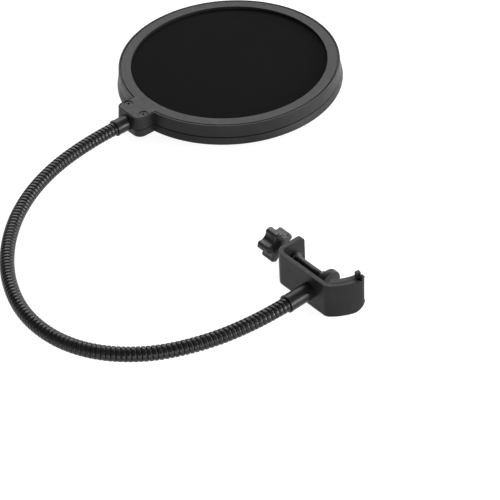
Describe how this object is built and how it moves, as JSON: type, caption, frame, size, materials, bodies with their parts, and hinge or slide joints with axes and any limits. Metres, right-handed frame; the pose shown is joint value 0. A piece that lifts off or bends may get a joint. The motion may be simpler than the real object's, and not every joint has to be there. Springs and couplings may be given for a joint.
{
  "type": "pop filter",
  "caption": "Round double-layer screen on a curved gooseneck arm, with a hooked screw clamp for a microphone stand or boom tube.",
  "frame": {"origin": "in the clamp's mouth, where the stand tube's axis passes, half way up the clamp strip", "axes": "+Z along the stand tube, across the clamp strip's width; +X along the clamp screw from its knob to the jaw; +Y out of the clamp's mouth, away from the neck"},
  "size_m": [0.3149, 0.3352, 0.0274],
  "materials": {
    "ring_plastic": "fine-textured black moulding",
    "screen_nylon": "black woven nylon, stretched flat",
    "hoop_plastic": "plain black moulding",
    "black_screw": "black oxide",
    "ferrule_black": "gloss black",
    "neck_winding": "semi-gloss black wire winding",
    "spring_steel": "plain drawn wire",
    "bracket_steel": "satin black powder coat",
    "liner_rubber": "matt black",
    "insert_steel": "blackened steel",
    "screw_steel": "black zinc plate",
    "knob_plastic": "satin black moulding"
  },
  "bodies": {
    "clamp": {"clamp_bracket": "bracket_steel", "jaw_liner": "liner_rubber", "clamp_ferrule": "ferrule_black", "fixing_screw": "black_screw", "thread_insert": "insert_steel", "neck_link_01": "neck_winding", "neck_spring_01": "spring_steel"},
    "neck_02": {"neck_link_02": "neck_winding", "neck_spring_02": "spring_steel"},
    "neck_03": {"neck_link_03": "neck_winding", "neck_spring_03": "spring_steel"},
    "neck_04": {"neck_link_04": "neck_winding", "neck_spring_04": "spring_steel"},
    "neck_05": {"neck_link_05": "neck_winding", "neck_spring_05": "spring_steel"},
    "neck_06": {"neck_link_06": "neck_winding", "neck_spring_06": "spring_steel"},
    "neck_07": {"neck_link_07": "neck_winding", "neck_spring_07": "spring_steel"},
    "neck_08": {"neck_link_08": "neck_winding", "neck_spring_08": "spring_steel"},
    "neck_09": {"neck_link_09": "neck_winding", "neck_spring_09": "spring_steel"},
    "screen": {"neck_link_10": "neck_winding", "neck_spring_10": "spring_steel", "screen_ferrule": "ferrule_black", "front_ring": "ring_plastic", "back_ring": "ring_plastic", "lug_screws": "black_screw", "front_screen": "screen_nylon", "back_screen": "screen_nylon", "front_hoop": "hoop_plastic", "back_hoop": "hoop_plastic", "spacer_ring": "hoop_plastic"},
    "pressure_foot": {"foot": "screw_steel", "foot_rubber": "liner_rubber"},
    "thumb_screw": {"clamp_screw": "screw_steel", "knob": "knob_plastic"}
  },
  "joints": [
    {"name": "neck_swing_1", "type": "hinge", "parent": "clamp", "child": "neck_02", "pos_m": [-0.01304, -0.06917, 0], "axis": [0, 0, 1], "range_deg": [-10, 24]},
    {"name": "neck_tilt_2", "type": "hinge", "parent": "neck_02", "child": "neck_03", "pos_m": [-0.02537, -0.10498, 0], "axis": [-0.891, 0.454, 0], "range_deg": [-20, 20]},
    {"name": "neck_swing_3", "type": "hinge", "parent": "neck_03", "child": "neck_04", "pos_m": [-0.04935, -0.13407, 0], "axis": [0, 0, 1], "range_deg": [-10, 24]},
    {"name": "neck_tilt_4", "type": "hinge", "parent": "neck_04", "child": "neck_05", "pos_m": [-0.08382, -0.14906, 0], "axis": [-0.1564, 0.9877, 0], "range_deg": [-20, 20]},
    {"name": "neck_swing_5", "type": "hinge", "parent": "neck_05", "child": "neck_06", "pos_m": [-0.12145, -0.14676, 0], "axis": [0, 0, 1], "range_deg": [-10, 24]},
    {"name": "neck_tilt_6", "type": "hinge", "parent": "neck_06", "child": "neck_07", "pos_m": [-0.15575, -0.13077, 0], "axis": [0.5592, 0.829, 0], "range_deg": [-20, 20]},
    {"name": "neck_swing_7", "type": "hinge", "parent": "neck_07", "child": "neck_08", "pos_m": [-0.18413, -0.10566, 0], "axis": [0, 0, 1], "range_deg": [-10, 24]},
    {"name": "neck_tilt_8", "type": "hinge", "parent": "neck_08", "child": "neck_09", "pos_m": [-0.20476, -0.07389, 0], "axis": [0.9063, 0.4226, 0], "range_deg": [-20, 20]},
    {"name": "neck_swing_9", "type": "hinge", "parent": "neck_09", "child": "screen", "pos_m": [-0.21616, -0.03775, 0], "axis": [0, 0, 1], "range_deg": [-10, 24]},
    {"name": "screw_travel", "type": "slide", "parent": "clamp", "child": "pressure_foot", "axis": [1, 0, 0], "range_m": [-0.0215, 0.006]},
    {"name": "knob_turn", "type": "hinge", "parent": "pressure_foot", "child": "thumb_screw", "pos_m": [-0.009, 0, 0], "axis": [1, 0, 0], "range_deg": [-7740, 2160]}
  ],
  "couplings": [
    {"joint": "knob_turn", "follows": "screw_travel", "rad_per_m": 6283.2}
  ]
}
